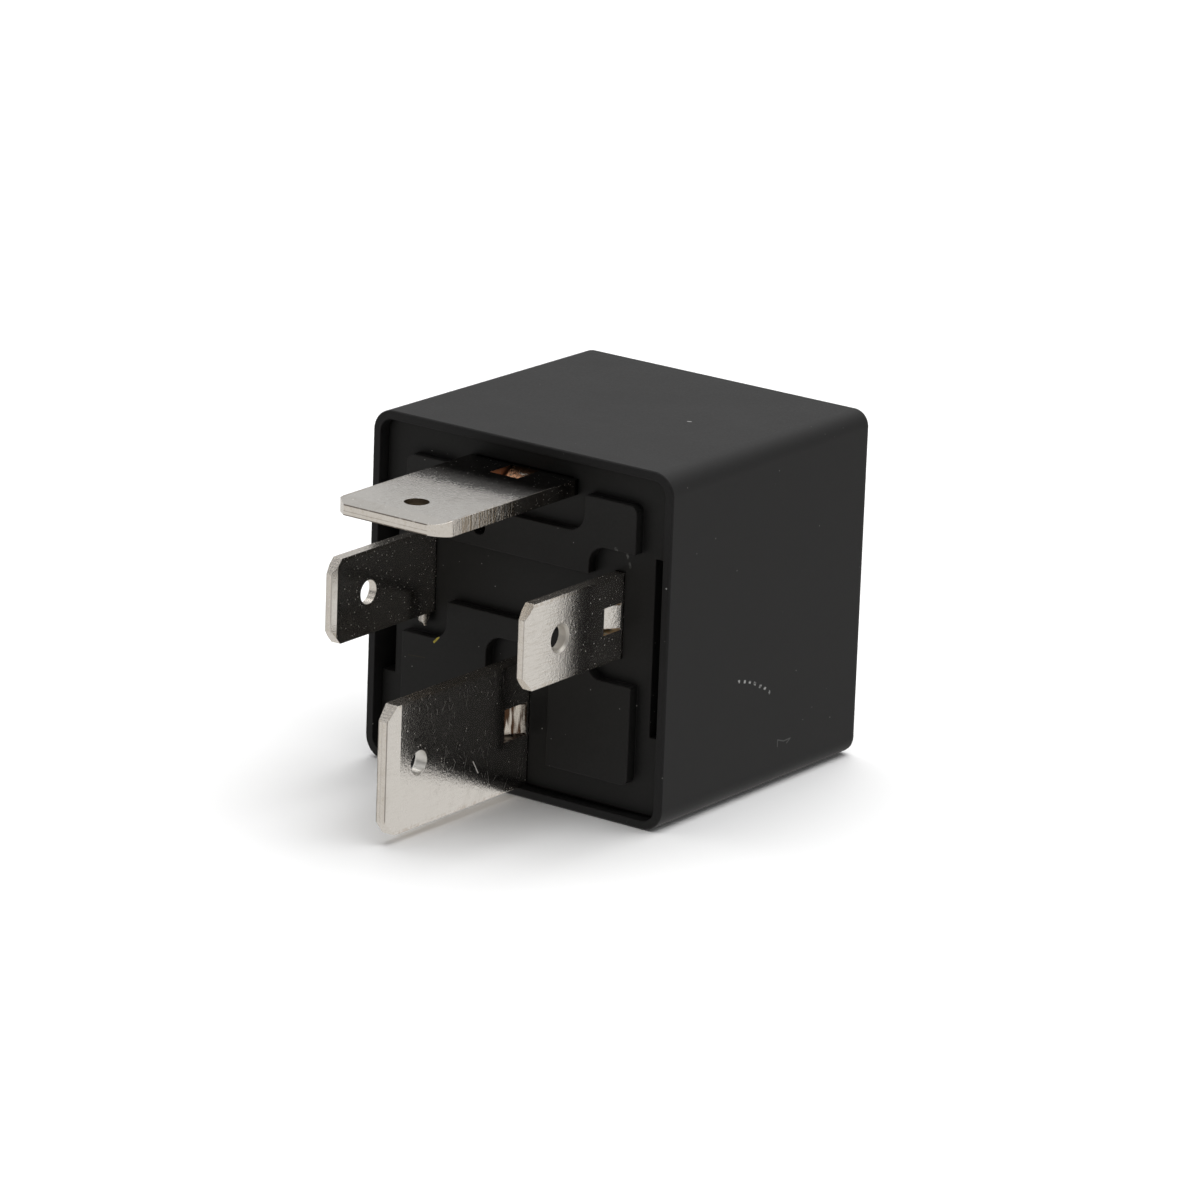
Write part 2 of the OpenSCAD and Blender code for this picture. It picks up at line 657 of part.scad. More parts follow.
module fixed_contact() {
    color("#e6e4df") {
        rod_y(contact_r, seat_face + 0.01, seat_face + contact_head_t, 0, contact_z);
        rod_y(contact_shank_r, seat_face - blade_t_large - contact_back_t, seat_face + 0.02, 0, contact_z);
        rod_y(contact_r - 0.2, seat_face - blade_t_large - contact_back_t, seat_face - blade_t_large - 0.01,
            0, contact_z);
    }
}

module moving_contact() {
    back = spring_face + spring_t;
    color("#e6e4df") swing_open() {
        rod_y(contact_r, spring_face - contact_head_t, spring_face - 0.01, 0, contact_z);
        rod_y(contact_shank_r, spring_face - 0.02, back + contact_back_t, 0, contact_z);
        rod_y(contact_r - 0.3, back + 0.01, back + contact_back_t, 0, contact_z);
    }
}

// ---------- armature ----------

module armature() {
    heel_w = yoke_w - 2 * ear_w - 0.5;
    color("#a5a7a9") swing_open() difference() {
        union() {
            translate([-heel_w / 2, y_armature, hinge_z]) cube([heel_w, armature_t, 3]);
            translate([-armature_w / 2, y_armature, z_yoke_in + 0.4])
                cube([armature_w, armature_t, armature_end_z - z_yoke_in - 0.4]);
        }
        for (x = [-1, 1]) rod_y(rivet_r + fit, y_armature - 1, y_armature_top + 1, x * rivet_pitch / 2,
            armature_rivet_z);
    }
}

// Leaf in one piece: a leg on the yoke, a round bend, and a blade on the armature
module spring_section() {
    ring_out = spring_bend_r + spring_t;
    leg_start = y_pole - spring_leg_l;
    // Leg along the yoke
    translate([leg_start, bend_z - ring_out]) square([bend_y - leg_start, spring_t]);
    // Bend round the hinge, a little more than a quarter turn short of the leg
    translate([bend_y, bend_z]) difference() {
        circle(r = ring_out);
        circle(r = spring_bend_r);
        translate([-2 * ring_out, -2 * ring_out]) square([2 * ring_out, 4 * ring_out]);
        rotate(-open_angle) translate([-2 * ring_out, 0]) square([4 * ring_out, 2 * ring_out]);
    }
    // Blade along the armature
    translate([bend_y, bend_z]) rotate(-open_angle) translate([spring_bend_r, -e])
        square([spring_t, spring_end_z - bend_z]);
}

spring_end_z = contact_z + contact_r + 0.3;

module contact_spring() {
    blade_y = spring_face - 1;
    color("#c98d4a") difference() {
        across(spring_w) spring_section();
        // Tapered free end
        swing_open() for (s = [0, 1]) mirror([s, 0, 0]) through(blade_y, spring_face + 2)
            polygon([[spring_tip_w / 2, armature_end_z - 1], [spring_w / 2, armature_end_z - 3],
                [spring_w, armature_end_z - 3], [spring_w, spring_end_z + 2],
                [spring_tip_w / 2, spring_end_z + 2]]);
        swing_open() rod_y(contact_shank_r + fit, blade_y, spring_face + 2, 0, contact_z);
        swing_open() for (x = [-1, 1])
            rod_y(rivet_r + fit, blade_y, spring_face + 2, x * rivet_pitch / 2, armature_rivet_z);
        for (x = [-1, 1])
            translate([x * rivet_pitch / 2, yoke_rivet_y, bend_z - spring_bend_r - spring_t - 1])
                cylinder(r = rivet_r + fit, h = spring_t + 1.5);
    }
}

module armature_rivets() {
    top = spring_face + spring_t + fit;
    color("#c8c9ca") swing_open() for (x = [-1, 1]) {
        rod_y(rivet_r, y_armature - rivet_head_t, top + rivet_head_t, x * rivet_pitch / 2, armature_rivet_z);
        for (y = [y_armature - rivet_head_t, top])
            rod_y(rivet_head_r, y, y + rivet_head_t - 0.02, x * rivet_pitch / 2, armature_rivet_z);
    }
}

module yoke_rivets() {
    low = bend_z - spring_bend_r - spring_t;
    color("#c8c9ca") for (x = [-1, 1]) translate([x * rivet_pitch / 2, yoke_rivet_y, 0]) {
        translate([0, 0, low - rivet_head_t]) cylinder(r = rivet_r, h = z_yoke_in - low + rivet_head_t);
        translate([0, 0, low - rivet_head_t]) cylinder(r = rivet_head_r, h = rivet_head_t - 0.02);
    }
}

// ---------- stop bracket ----------

stop_x = max(flange_half_w, armature_w / 2 + 3 * air) + 2 * air;
stop_z = coil_z + stop_rise;
stop_y = hinge_y + (stop_z + stop_w / 2 - hinge_z) * tan(open_angle) + armature_t / cos(open_angle) + fit;
stop_reach = stop_x + stop_t - armature_w / 2 + stop_lap;

module stop_bracket() {
    start = y_bobbin + bobbin_l - stop_leg_l;
    color("#cfcfcb") {
        translate([stop_x, start, stop_z - stop_w / 2]) cube([stop_t, stop_y + stop_t - start, stop_w]);
        translate([stop_x + stop_t - stop_reach, stop_y, stop_z - stop_w / 2])
            cube([stop_reach, stop_t, stop_w]);
    }
}

// ---------- wiring ----------

// Braid from terminal 30's tab, past the side of the coil and over the armature to the spring
braid_start = [braid_tab_x - 1.2, y_foot + braid_r, (braid_tab_low + braid_tab_high) / 2];
braid_end = [1.0, spring_face + spring_t + (armature_end_z - 0.6 - hinge_z) * tan(open_angle) + braid_r + 0.1,
    armature_end_z - 0.6];
braid_route = [
    braid_start,
    braid_start + [0.3, 2.2, 0],
    [braid_start.x + 0.7, (y_bobbin + y_pole) / 2, braid_start.z],
    [braid_start.x + 0.6, y_pole, braid_start.z + 0.6],
    [braid_start.x - 0.4, y_pole + 3, braid_start.z + 2.4],
    [armature_w / 2 + 0.6, braid_end.y + 0.9, coil_z - 1],
    [armature_w / 2 - 2, braid_end.y + 1.1, coil_z + 2.8],
    [2.4, braid_end.y + 0.7, braid_end.z - 1.9],
    braid_end];

module copper_braid() {
    color("#b8703a") tube(smooth(braid_route, 6), braid_r, 10);
}

// Resistor across the two coil terminals, above the bobbin and below terminal 87's strip
resistor_z = (coil_z + flange_half_h + z_87 - blade_t_large / 2) / 2;
resistor_y = y_inside + 1.8;

module suppression_resistor() {
    color("#c9b79a") translate([-resistor_l / 2, resistor_y, resistor_z]) rotate([0, 90, 0]) {
        cylinder(d = resistor_d - 0.3, h = resistor_l);
        cylinder(d = resistor_d, h = 1.4);
        translate([0, 0, resistor_l - 1.4]) cylinder(d = resistor_d, h = 1.4);
    }
}

lead_drop_x = x_coil_terminals + blade_t_small / 2 + resistor_lead_d / 2 + fit;
module resistor_leads() {
    r = resistor_lead_d / 2;
    color("#cfd0d1") for (s = [0, 1]) mirror([s, 0, 0]) tube(smooth([
        [resistor_l / 2 + fit, resistor_y, resistor_z],
        [resistor_l / 2 + 1.6, resistor_y, resistor_z],
        [lead_drop_x - 0.9, resistor_y, resistor_z],
        [lead_drop_x, resistor_y, resistor_z - 0.9],
        [lead_drop_x, resistor_y, z_coil_terminals + 1.6],
        [lead_drop_x, resistor_y, z_coil_terminals - 0.7]], 5), r, 10);
}

// Coil wire from the winding to a tag, ending in three close turns round the tag
wrap_turns = 3;
wrap_y = y_bobbin + flange_t + 0.6;
wrap_pitch = wire_d + 0.12;
module coil_wire(side) {
    a = blade_t_small / 2 * sqrt(2) + wire_d / 2 + 0.12;
    b = tag_w / 2 * sqrt(2) + wire_d / 2 + 0.12;
    steps = 16;
    wrap = [for (i = [0:wrap_turns * steps]) let (t = 180 + 360 * i / steps)
        [x_coil_terminals + a * cos(t), wrap_y - wrap_pitch * i / steps, z_coil_terminals - b * sin(t)]];
    start_r = winding_r + wire_d / 2 + 0.05;
    lead = [for (t = [0:0.2:0.8]) [
        start_r * cos(40) * (1 - t) + (x_coil_terminals - a) * t,
        wrap_y,
        (coil_z + start_r * sin(40)) * (1 - t) + (z_coil_terminals + 1.6) * t]];
    color("#b5602c") mirror([side > 0 ? 0 : 1, 0, 0]) tube(concat(lead, wrap), wire_d / 2, 8);
}

module coil_start_wire() {
    coil_wire(1);
}

module coil_end_wire() {
    coil_wire(-1);
}

place() housing_cover();
place() base_plate();
place() terminal_30();
place() terminal_87();
place() terminal_85();
place() terminal_86();
place() coil_bobbin();
place() coil_winding();
place() winding_tape();
place() magnet_core();
place() yoke();
place() terminal_rivets();
place() fixed_contact();
place() stop_bracket();
place() yoke_rivets();
place() armature();
place() contact_spring();
place() armature_rivets();
place() moving_contact();
place() copper_braid();
place() suppression_resistor();
place() resistor_leads();
place() coil_start_wire();
place() coil_end_wire();
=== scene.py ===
import json
import math

import bmesh
import bpy
from mathutils import Matrix, Vector


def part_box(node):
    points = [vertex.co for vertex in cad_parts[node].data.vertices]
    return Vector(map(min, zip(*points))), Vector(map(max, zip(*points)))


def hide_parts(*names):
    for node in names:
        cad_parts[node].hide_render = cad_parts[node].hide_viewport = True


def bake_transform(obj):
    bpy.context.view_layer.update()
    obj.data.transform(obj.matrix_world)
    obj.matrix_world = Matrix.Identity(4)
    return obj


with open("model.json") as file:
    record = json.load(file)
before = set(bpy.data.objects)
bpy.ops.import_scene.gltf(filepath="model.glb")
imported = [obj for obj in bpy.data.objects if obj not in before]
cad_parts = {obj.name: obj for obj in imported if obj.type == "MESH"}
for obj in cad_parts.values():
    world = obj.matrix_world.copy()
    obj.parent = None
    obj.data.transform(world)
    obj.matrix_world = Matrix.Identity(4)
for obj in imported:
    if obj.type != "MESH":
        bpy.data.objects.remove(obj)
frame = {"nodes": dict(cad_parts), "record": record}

MM = 0.001
NODES = frame["nodes"]
MOUNTS = {mount["name"]: mount for mount in frame["record"]["mounts"]}


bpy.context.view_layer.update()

# In every material y is counted from the rim plane of the case, in millimetres.
CASE_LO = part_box("housing_cover")[0]
RIM_Y = CASE_LO.y / MM


# ---------------------------------------------------------------- node helpers


class Tree:
    """Small helper that adds nodes to a material or world and links them."""

    def __init__(self, owner):
        owner.use_nodes = True
        self.tree = owner.node_tree
        self.tree.nodes.clear()

    def add(self, kind, values=None, **settings):
        node = self.tree.nodes.new(kind)
        for key, value in settings.items():
            setattr(node, key, value)
        for key, value in (values or {}).items():
            self.put(node.inputs[key], value)
        return node

    def put(self, socket, value):
        if isinstance(value, bpy.types.NodeSocket):
            self.tree.links.new(value, socket)
        else:
            socket.default_value = value

    def math(self, operation, a, b=0.0, clamp=False):
        return self.add("ShaderNodeMath", {0: a, 1: b}, operation=operation, use_clamp=clamp).outputs[0]

    def mul(self, a, b):
        return self.math("MULTIPLY", a, b)

    def plus(self, a, b):
        return self.math("ADD", a, b)

    def minus(self, a, b):
        return self.math("SUBTRACT", a, b)

    def top(self, a, b):
        return self.math("MAXIMUM", a, b)

    def absolute(self, a):
        return self.math("ABSOLUTE", a)

    def swing(self, noise, amount):
        """A noise turned into a change to either side of nothing."""
        return self.mul(self.plus(noise, -0.5), amount)

    def ramp(self, value, start, end, low=0.0, high=1.0):
        """Smooth step from low to high as value goes from start to end."""
        node = self.add("ShaderNodeMapRange", {"Value": value, "From Min": start, "From Max": end,
                                               "To Min": low, "To Max": high},
                        interpolation_type="SMOOTHSTEP")
        return node.outputs[0]

    def mix(self, factor, a, b):
        node = self.add("ShaderNodeMix", {"Factor": factor}, data_type="RGBA")
        self.put(node.inputs[6], a)
        self.put(node.inputs[7], b)
        return node.outputs[2]

    def noise(self, vector, scale, detail=2.0, rough=0.5):
        node = self.add("ShaderNodeTexNoise", {"Vector": vector, "Scale": scale, "Detail": detail,
                                               "Roughness": rough})
        return node.outputs["Fac"]

    def vector(self, x, y, z):
        return self.add("ShaderNodeCombineXYZ", {0: x, 1: y, 2: z}).outputs[0]

    def stretched(self, vector, scale, shift=0.0):
        node = self.add("ShaderNodeMapping", {"Vector": vector, "Scale": scale,
                                              "Location": (shift, shift, shift)})
        return node.outputs[0]

    def place(self):
        """Millimetres in the part's own frame, with y counted from the rim."""
        coord = self.add("ShaderNodeTexCoord").outputs["Object"]
        node = self.add("ShaderNodeMapping", {"Vector": coord, "Scale": (1000, 1000, 1000),
                                              "Location": (0, -RIM_Y, 0)})
        parts = self.add("ShaderNodeSeparateXYZ", {0: node.outputs[0]})
        return node.outputs[0], parts.outputs[0], parts.outputs[1], parts.outputs[2]

    def facing(self):
        """The face's own normal in the part's frame, with no bump, as x, y and z."""
        normal = self.add("ShaderNodeNewGeometry").outputs["True Normal"]
        local = self.add("ShaderNodeVectorTransform", {0: normal}, vector_type="NORMAL",
                         convert_from="WORLD", convert_to="OBJECT").outputs[0]
        parts = self.add("ShaderNodeSeparateXYZ", {0: local})
        return parts.outputs[0], parts.outputs[1], parts.outputs[2]


def rgb(r, g, b):
    return (r, g, b, 1.0)


def grey(level):
    return rgb(level, level, level)


def darker(colour, shares):
    """That share of each channel of a colour."""
    return rgb(*(channel * share for channel, share in zip(colour, shares)))


# Share of a line's width, and of a speck's radius, that has its full strength.
LINE_CORE = 0.4
SPECK_CORE = 0.6


def window(t, value, low, high, soft=0.05):
    """1 where value lies between low and high."""
    return t.mul(t.ramp(value, low - soft, low + soft), t.ramp(value, high - soft, high + soft, 1.0, 0.0))


def stroke(t, u, v, a, b, width):
    """1 on the straight line from a to b in the plane (u, v), fading over the outer half of its width."""
    du, dv = b[0] - a[0], b[1] - a[1]
    pu = t.plus(u, -a[0])
    pv = t.plus(v, -a[1])
    along = t.math("DIVIDE", t.plus(t.mul(pu, du), t.mul(pv, dv)), du * du + dv * dv, clamp=True)
    ou = t.minus(pu, t.mul(along, du))
    ov = t.minus(pv, t.mul(along, dv))
    far = t.math("SQRT", t.plus(t.mul(ou, ou), t.mul(ov, ov)))
    return t.ramp(far, width / 2, width, 1.0, 0.0)


def arc(t, u, v, centre, radius, start, end, width):
    """1 on an arc, angles in degrees from the u axis."""
    pu = t.plus(u, -centre[0])
    pv = t.plus(v, -centre[1])
    far = t.math("SQRT", t.plus(t.mul(pu, pu), t.mul(pv, pv)))
    ring = t.ramp(t.absolute(t.plus(far, -radius)), width * LINE_CORE, width, 1.0, 0.0)
    angle = t.math("ARCTAN2", pv, pu)
    return t.mul(ring, window(t, angle, math.radians(start), math.radians(end), 0.03))


def specks(t, place, per_mm, radius, share, seed):
    """Sparse round specks, in radius millimetres, in that share of the cells."""
    shift = (seed, seed * 1.7, seed * 0.6)
    moved = t.add("ShaderNodeVectorMath", {0: place, 1: shift}, operation="ADD").outputs[0]
    cell = t.add("ShaderNodeTexVoronoi", {"Vector": moved, "Scale": per_mm, "Randomness": 1.0})
    full = radius * per_mm
    dot = t.ramp(cell.outputs["Distance"], full * SPECK_CORE, full, 1.0, 0.0)
    pick = t.add("ShaderNodeSeparateColor", {0: cell.outputs["Color"]}).outputs[0]
    return t.mul(dot, t.math("LESS_THAN", pick, share))


def hairs(t, u, v, per_mm, length, width, lean, spread, share, seed):
    """Hairlines, one to a cell and a little bowed, in that share of the cells.

    They lean from the u axis by lean degrees, give or take half of spread.
    """
    spot = t.vector(t.plus(u, seed), t.plus(v, seed * 1.7), 0.0)
    cell = t.add("ShaderNodeTexVoronoi", {"Vector": spot, "Scale": per_mm}, voronoi_dimensions="2D")
    offset = t.add("ShaderNodeVectorMath", {0: spot, 1: cell.outputs["Position"]}, operation="SUBTRACT")
    du, dv, _ = t.add("ShaderNodeSeparateXYZ", {0: offset.outputs[0]}).outputs
    chance = t.add("ShaderNodeSeparateColor", {0: cell.outputs["Color"]}).outputs
    angle = t.plus(t.swing(chance[0], math.radians(spread)), math.radians(lean))
    c, s = t.math("COSINE", angle), t.math("SINE", angle)
    along = t.plus(t.mul(du, c), t.mul(dv, s))
    across = t.minus(t.mul(dv, c), t.mul(du, s))
    bow = t.mul(t.mul(along, along), t.swing(chance[2], 0.3))
    line = t.ramp(t.absolute(t.plus(across, bow)), width * LINE_CORE, width, 1.0, 0.0)
    end = t.ramp(t.absolute(along), length * 0.3, length * 0.5, 1.0, 0.0)
    return t.mul(t.mul(line, end), t.math("LESS_THAN", chance[1], share))


def finish_material(t, values, edge, strength, depth, height):
    """The shader, with edges that look rounded to that radius and bumps of that strength and depth."""
    bump = t.add("ShaderNodeBump", {"Strength": strength, "Distance": depth * MM,
                                    "Height": height}).outputs[0]
    soft = t.add("ShaderNodeBevel", {"Radius": edge * MM, "Normal": bump}, samples=4).outputs[0]
    shader = t.add("ShaderNodeBsdfPrincipled", values)
    t.put(shader.inputs["Normal"], soft)
    t.add("ShaderNodeOutputMaterial", {0: shader.outputs[0]})


# ---------------------------------------------------------------- plastics

# Scales of the clouds and of the grain, per mm, and the depth of the grain, in mm
PLASTIC_CLOUD = 0.22
PLASTIC_GRAIN = 5.5
PLASTIC_DEPTH = 0.012
PLASTIC_BUMP = 0.35
# Share of the base colour that is everywhere, that the clouds add and that the grain adds
PLASTIC_SHADE = (0.58, 0.35, 0.5)
# Roughness that the clouds and the grain change
PLASTIC_ROUGH = (0.12, 0.16)
# Dust on plastic: cells per mm, radius in mm, share of the cells, step of the seed, strength
PLASTIC_DUST = ((0.6, 0.065, 0.2, 0, 1.0), (1.5, 0.045, 0.22, 7, 0.8))
PLASTIC_DUST_COLOUR = rgb(0.30, 0.29, 0.28)
# Painted shade in creases and hollows: how near another surface has to be to darken a spot, in mm, and the
# share of open sky at which the painted shade is full and at which it is nothing
CREASE_SHADE_REACH = 0.9
CREASE_SHADE_OPEN = (0.35, 0.85)


def plastic(name, base, roughness, specular, seed, dust=0.0, edge=0.12, crease_shade=0.0, marks=None):
    """Moulded plastic with a fine spark-eroded grain, some dust, painted shade in its creases and its own
    marks.
    """
    mat = bpy.data.materials.new(name)
    t = Tree(mat)
    place, x, y, z = t.place()
    cloud = t.noise(place, PLASTIC_CLOUD, 3.0)
    fine = t.noise(place, PLASTIC_GRAIN, 3.0, 0.65)
    even, clouded, grained = PLASTIC_SHADE
    shade = t.plus(t.mul(cloud, clouded), t.plus(t.mul(fine, grained), even))
    # Painted shade: the colour darkens where little open sky is seen, in creases and next to other parts
    if crease_shade:
        sky = t.add("ShaderNodeAmbientOcclusion", {"Distance": CREASE_SHADE_REACH * MM}, samples=8).outputs["AO"]
        shade = t.mul(shade, t.ramp(sky, *CREASE_SHADE_OPEN, 1.0 - crease_shade, 1.0))
    colour = t.add("ShaderNodeVectorMath", {0: base, 3: shade}, operation="SCALE").outputs[0]
    rough = t.plus(t.swing(cloud, PLASTIC_ROUGH[0]), t.plus(t.swing(fine, PLASTIC_ROUGH[1]), roughness))
    pale = 0.0
    for per_mm, radius, share, step, strength in PLASTIC_DUST:
        dots = specks(t, place, per_mm, radius, share, seed + step)
        pale = t.top(pale, t.mul(dots, dust * strength))
    colour = t.mix(pale, colour, PLASTIC_DUST_COLOUR)
    if marks:
        mark, mark_colour = marks(t, place, x, y, z)
        colour = t.mix(mark, colour, mark_colour)
    finish_material(t, {"Base Color": colour, "Roughness": rough, "Specular IOR Level": specular},
                    edge, PLASTIC_BUMP, PLASTIC_DEPTH, fine)
    return mat


# The row of dabs on the case's right side is an arc. Its centre and the points of the curled scratch
# are y and z, in mm from the rim and the underside. The beat is the phase of the dabs to a radian.
BOW_CENTRE = (7.6, 0.6)
BOW_RADIUS = 8.75
BOW_ANGLES = (52, 83.5)
BOW_WIDTH = 0.16
BOW_BEAT = 76.0
CURL = ((14.33, 3.1), (14.33, 3.6), (15.1, 3.34), (15.95, 3.36), (15.5, 3.1))
CURL_WIDTH = 0.06
CURL_SHARE = 0.16
# The crumb on top, as x and y, and the stretch of y that the nicks along the rim lie in
CRUMB = ((5.4, 12.6), (5.6, 12.7))
CRUMB_WIDTH = 0.09
NICKED_Y = (-0.2, 0.12)
CASE_MARK_COLOUR = rgb(0.40, 0.40, 0.39)
FACING_THAT_WAY = (0.7, 0.9)


def scuffs_on_case(t, place, x, y, z):
    """A bowed row of dabs and a curled scratch on the right, nicks along the rim and a crumb on top."""
    facing = t.facing()
    right = t.ramp(facing[0], *FACING_THAT_WAY)
    above = t.ramp(facing[2], *FACING_THAT_WAY)
    shaken = t.plus(y, t.swing(t.noise(place, 1.6), 0.6))
    bow = arc(t, shaken, z, BOW_CENTRE, BOW_RADIUS, *BOW_ANGLES, BOW_WIDTH)
    angle = t.math("ARCTAN2", t.plus(z, -BOW_CENTRE[1]), t.plus(y, -BOW_CENTRE[0]))
    beat = t.math("SINE", t.plus(t.mul(angle, BOW_BEAT), t.mul(t.noise(place, 0.8), 4.0)))
    dabs = t.mul(bow, t.mul(t.ramp(beat, 0.1, 0.75), t.ramp(t.noise(place, 3.0), 0.32, 0.5)))
    curl = 0.0
    for a, b in zip(CURL, CURL[1:]):
        curl = t.top(curl, stroke(t, y, z, a, b, CURL_WIDTH))
    pale = t.mul(t.top(dabs, t.mul(curl, CURL_SHARE)), right)
    nicks = t.mul(specks(t, place, 0.9, 0.09, 0.3, 6.0), window(t, y, *NICKED_Y, 0.03))
    crumb = t.mul(stroke(t, x, y, *CRUMB, CRUMB_WIDTH), above)
    return t.mul(t.top(t.top(pale, crumb), t.mul(nicks, 0.8)), 0.9), CASE_MARK_COLOUR


# Marks on the base plate: two ends as x and z, in mm from the middle and the underside, and a width
FLECK = ((-7.3, 9.9), (-6.9, 10.33), 0.1)
MOULD_LINE = ((-9.6, 8.46), (-8.07, 8.56), 0.04)
# The pale mark above terminal 85 is partly dust and scuffing, partly a painted edge highlight
SCUFF_AND_HIGHLIGHT_UPPER = ((8.5, 20.1), (8.95, 19.5), 0.16)
SCUFF_AND_HIGHLIGHT_LOWER = ((8.95, 19.5), (9.2, 18.7), 0.12)
FLECK_COLOUR = rgb(0.42, 0.34, 0.05)
SCUFF_AND_HIGHLIGHT_COLOUR = rgb(0.4, 0.4, 0.38)


def marks_on_plate(t, place, x, y, z):
    """A yellow fleck below terminal 86, a faint mould line, and a pale mark above terminal 85, partly dust
    and scuffing, partly a painted edge highlight.
    """
    fleck = stroke(t, x, z, *FLECK)
    line = t.mul(stroke(t, x, z, *MOULD_LINE), 0.03)
    # Pale mark on the pocket's corner: dust and scuffing, and a painted edge highlight
    scuff_and_highlight = t.top(stroke(t, x, z, *SCUFF_AND_HIGHLIGHT_UPPER), stroke(t, x, z, *SCUFF_AND_HIGHLIGHT_LOWER))
    scuff_and_highlight = t.mul(t.mul(scuff_and_highlight, t.ramp(t.noise(place, 3.0), 0.4, 0.65)), 0.25)
    right_half = t.ramp(x, 0.0, 0.1)
    return t.top(t.top(fleck, line), scuff_and_highlight), t.mix(right_half, FLECK_COLOUR, SCUFF_AND_HIGHLIGHT_COLOUR)


# ---------------------------------------------------------------- metals

# Scale of the clouds, and of the rolling lines across and along the rolling, per mm
METAL_CLOUD = 0.6
ROLLED_ACROSS = 9.0
ROLLED_ALONG = 0.7
# The depth of the bumps and the radius of the soft edges, in mm
METAL_DEPTH = 0.016
METAL_BUMP = 0.3
METAL_EDGE = 0.05
# Roughness that the rolling lines change, that specks and scratches add, and that tarnish adds with wear
ROUGH_ROLLED = 0.1
ROUGH_DULL = 0.42
ROUGH_TARNISH = 0.15
# Share of tarnish in its patches, and of the metallic look that a speck takes away
TARNISH_SHARE = 0.125
SPECK_DULLS = 0.3
# Dull specks on metal: cells per mm, radius in mm, step of the seed
METAL_SPECKS = ((2.2, 0.05, 0), (4.2, 0.034, 3))
# Hairline scratches: cells per mm, length in mm, share of the cells, spread of the lean in degrees
HAIRS = ((0.45, 2.0, 0.7, 40), (0.8, 1.2, 0.5, 75), (1.5, 0.6, 0.4, 110))
HAIR_WIDTH = 0.015
HAIR_LEAN = 88
# Share of the metal's own colour that is left in tarnish, in rolling lines, and on sheared sides and rims
TARNISHED = (0.5, 0.47, 0.42)
ROLLED = (0.7, 0.66, 0.6)
SHEARED = (0.66, 0.58, 0.48)
RUBBED = (0.66, 0.58, 0.5)
# The sides of the large blades are torn between these y. That fades in and out, and it keeps off the
# middle line, where the walls of the holes are.
TORN_FADE_IN = (-13.0, -12.2)
TORN_FADE_OUT = (-8.0, -5.5)
TORN_OFF_MIDDLE = (1.5, 1.6)
# How far in from a blade's edges its rubbed rim starts and is full
RUBBED_RIM = (0.35, 0.15)
# Widths of the blades, and half the flat between the bevels at their tips
WIDTH_LARGE, FLAT_LARGE = 9.5, 0.395
WIDTH_SMALL, FLAT_SMALL = 6.3, 0.25


class Blade:
    """Where a terminal's blade leaves the rim, how far it reaches and how its sheet lies, in mm.

    sheet is the axis across the sheet, 0 for X and 2 for Z.
    """

    def __init__(self, name, width, flat, sheet):
        mount = MOUNTS["blade_" + name]
        self.x = mount["pos_m"][0] / MM
        self.z = mount["pos_m"][2] / MM
        self.reach = mount["dims"]["length_mm"]
        self.hole = [value / MM for value in MOUNTS["detent_" + name]["pos_m"]]
        self.hole[1] -= RIM_Y
        self.half_width = width / 2
        self.flat = flat
        self.sheet = sheet
        self.torn = width > WIDTH_SMALL

    def along_width(self, x, z):
        """The coordinate that runs across the blade's width, and its value on the middle line."""
        return (x, self.x) if self.sheet == 2 else (z, self.z)

    def through_sheet(self, x, z):
        """The coordinate that runs through the sheet, and its value in the sheet's middle."""
        return (z, self.z) if self.sheet == 2 else (x, self.x)

    def cut_faces(self, t, start, end, full=1.0):
        """Full on the faces cut through the sheet, and 0 on its flat faces."""
        return t.ramp(t.absolute(t.facing()[self.sheet]), start, end, full, 0.0)


BLADE_30 = Blade("30", WIDTH_LARGE, FLAT_LARGE, 0)
BLADE_87 = Blade("87", WIDTH_LARGE, FLAT_LARGE, 2)
BLADE_85 = Blade("85", WIDTH_SMALL, FLAT_SMALL, 0)
BLADE_86 = Blade("86", WIDTH_SMALL, FLAT_SMALL, 0)


def hairlines(t, place, y, v, flat, strength, seed):
    """Fine scratches across the flat faces of a blade, in patches. v runs across its width."""
    worn = t.mul(t.ramp(t.noise(place, 0.35, 2.0), 0.4, 0.62), strength)
    scratched = 0.0
    for n, (per_mm, length, share, spread) in enumerate(HAIRS):
        hair = hairs(t, y, v, per_mm, length, HAIR_WIDTH, HAIR_LEAN, spread, share, seed + 5 * n)
        scratched = t.top(scratched, t.mul(t.mul(hair, flat), worn))
    return scratched


def sheared(t, place, y, blade, off_middle, side, flat, base, colour, rough, height):
    """Stained, pitted and torn metal on a blade's cut sides, and a rubbed rim along its flat faces."""
    shear = t.noise(t.stretched(place, (0.4, 12.0, 0.4)), 1.0, 2.0, 0.5)
    pitted = t.noise(place, 4.0, 3.0, 0.6)
    stain = t.plus(t.mul(t.ramp(pitted, 0.5, 0.75), 0.25), 0.2)
    if blade.torn:
        torn = t.mul(t.ramp(y, *TORN_FADE_IN), t.ramp(y, *TORN_FADE_OUT, 1.0, 0.35))
        torn = t.mul(torn, t.ramp(off_middle, *TORN_OFF_MIDDLE))
        stain = t.plus(stain, t.mul(t.mul(t.ramp(shear, 0.48, 0.54), torn), 1.1))
    rim = t.ramp(off_middle, blade.half_width - RUBBED_RIM[0], blade.half_width - RUBBED_RIM[1])
    rubbed = t.mul(t.mul(rim, flat), t.ramp(t.noise(place, 3.0, 3.0), 0.4, 0.6))
    colour = t.mix(t.mul(side, stain), colour, darker(base, SHEARED))
    colour = t.mix(t.mul(rubbed, 0.4), colour, darker(base, RUBBED))
    rough = t.plus(rough, t.mul(side, t.plus(0.05, t.mul(pitted, 0.12))))
    height = t.plus(height, t.mul(side, t.plus(t.mul(shear, 3.0), t.mul(pitted, 0.6))))
    return colour, rough, height


